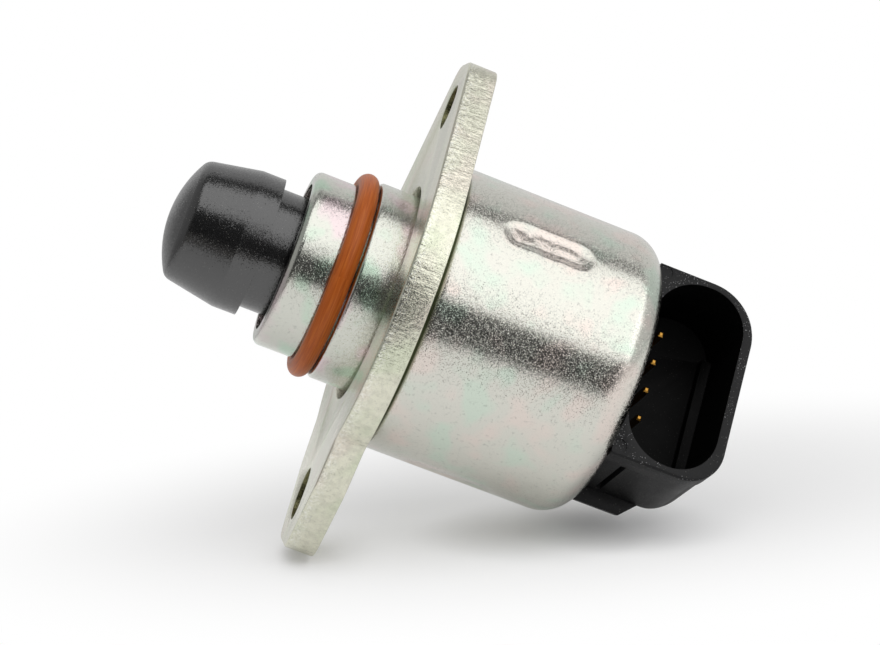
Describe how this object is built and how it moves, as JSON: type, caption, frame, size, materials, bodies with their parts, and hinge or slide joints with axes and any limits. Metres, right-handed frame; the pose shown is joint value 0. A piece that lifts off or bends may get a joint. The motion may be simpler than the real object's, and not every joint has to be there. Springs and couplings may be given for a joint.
{
  "type": "idle air control valve",
  "caption": "Stepper-driven idle air control valve: drawn steel can on a slotted bolt flange, sliding plastic pintle, ringed nose and hooded side connector.",
  "frame": {"origin": "on the valve's axis, in the flange's mounting face, the face that meets the throttle body", "axes": "+X along the valve's axis from the pintle towards the connector; +Z from the axis towards the round bolt hole, away from the slotted one; the connector's mouth opens to -Y, turned 24 degrees towards +Z"},
  "size_m": [0.0708, 0.044, 0.062],
  "materials": {
    "zinc_plate": "zinc-plated punched steel plate, rough sheared edge",
    "zinc_can": "zinc-plated drawn steel, satin, faintly iridescent",
    "zinc_nose": "zinc-plated turned steel, satin",
    "silicone": "rust-red silicone rubber",
    "inner_steel": "plain sheet steel",
    "bearing_steel": "ground bearing steel",
    "screw_steel": "bright drawn steel",
    "cage_brass": "plain brass",
    "copper": "enamelled copper wire",
    "magnet": "sintered magnet, dark grey",
    "guide_plastic": "natural nylon",
    "nut_plastic": "natural acetal",
    "bobbin_plastic": "moulded nylon",
    "pintle_plastic": "black moulded plastic, satin",
    "cap_plastic": "black glass-filled plastic, satin",
    "black_rubber": "black nitrile rubber",
    "gold_plate": "gold-plated contact"
  },
  "bodies": {
    "housing": {"flange_plate": "zinc_plate", "motor_can": "zinc_can", "nose_sleeve": "zinc_nose", "nose_oring": "silicone", "bearing_plate": "inner_steel", "screw_guide": "guide_plastic", "bearing_outer_race": "bearing_steel", "bearing_balls": "bearing_steel", "bearing_cage": "cage_brass", "bearing_retainer": "inner_steel", "stator_cup_front_a": "inner_steel", "stator_cup_front_b": "inner_steel", "stator_cup_rear_a": "inner_steel", "stator_cup_rear_b": "inner_steel", "bobbin_front": "bobbin_plastic", "bobbin_rear": "bobbin_plastic", "winding_front": "copper", "winding_rear": "copper", "rear_bush": "cage_brass", "thrust_washer": "inner_steel", "pintle_spring": "screw_steel", "cap_seal": "black_rubber", "connector_cap": "cap_plastic", "terminal_1": "gold_plate", "terminal_2": "gold_plate", "terminal_3": "gold_plate", "terminal_4": "gold_plate"},
    "rotor": {"rotor_magnet": "magnet", "rotor_nut": "nut_plastic", "bearing_inner_race": "bearing_steel"},
    "plunger": {"pintle": "pintle_plastic", "lead_screw": "screw_steel"}
  },
  "joints": [
    {"name": "rotor_spin", "type": "hinge", "parent": "housing", "child": "rotor", "pos_m": [0.0148, 0, 0], "axis": [1, 0, 0], "range_deg": [0, 3600]},
    {"name": "pintle_slide", "type": "slide", "parent": "housing", "child": "plunger", "axis": [1, 0, 0], "range_m": [0, 0.01], "deforming": ["pintle_spring"]}
  ],
  "couplings": [
    {"joint": "pintle_slide", "follows": "rotor_spin", "m_per_rad": 0.00015915}
  ]
}
